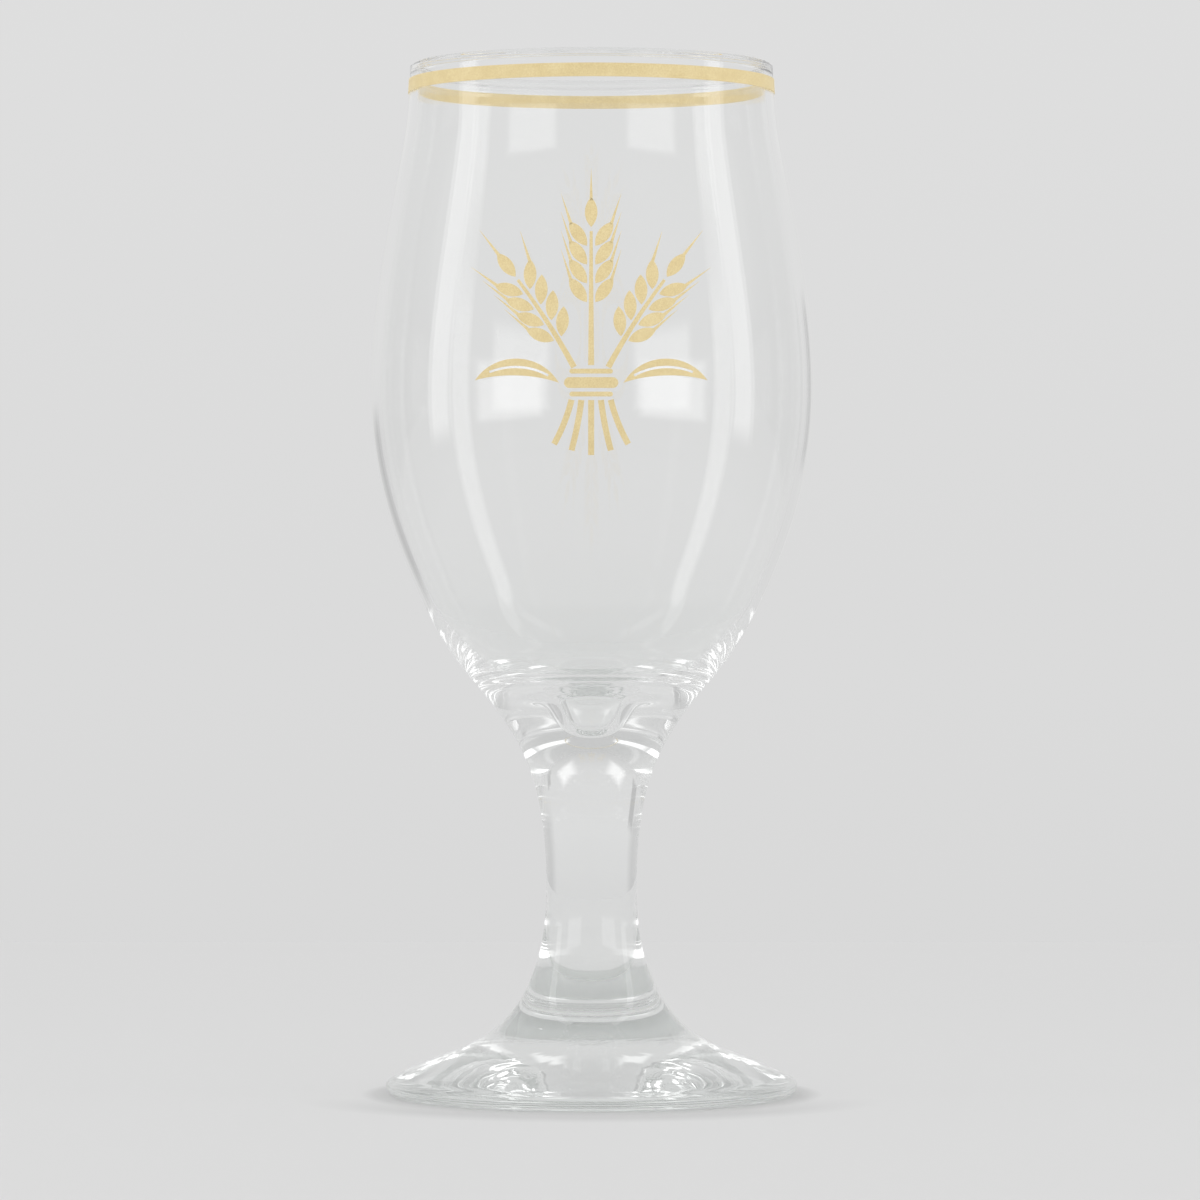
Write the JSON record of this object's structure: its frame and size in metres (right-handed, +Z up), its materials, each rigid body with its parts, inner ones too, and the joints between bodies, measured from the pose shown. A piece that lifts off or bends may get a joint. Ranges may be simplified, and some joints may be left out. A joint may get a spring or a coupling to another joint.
{
  "type": "stemmed beer glass",
  "caption": "Clear stemmed beer glass with a tall tulip bowl, short waisted stem and wide trumpet foot, a gold line below the rim and a gold barley sheaf on the front.",
  "frame": {"origin": "centre of the glass's base, on the plane that its resting ring stands on", "axes": "+Z up along the glass's axis, -Y towards the side with the sheaf, +X to the right of someone who looks at the sheaf"},
  "size_m": [0.0764, 0.0766, 0.178],
  "materials": {
    "clear_glass": "clear, fire-polished, gloss",
    "fired_gold": "pale gold fired enamel, satin, with a fine speckle"
  },
  "bodies": {
    "root": {"foot": "clear_glass", "stem": "clear_glass", "bowl": "clear_glass", "rim_line": "fired_gold", "sheaf_tie": "fired_gold", "sheaf_stalks": "fired_gold", "sheaf_leaves": "fired_gold", "sheaf_ear_left": "fired_gold", "sheaf_ear_middle": "fired_gold", "sheaf_ear_right": "fired_gold"}
  },
  "joints": []
}
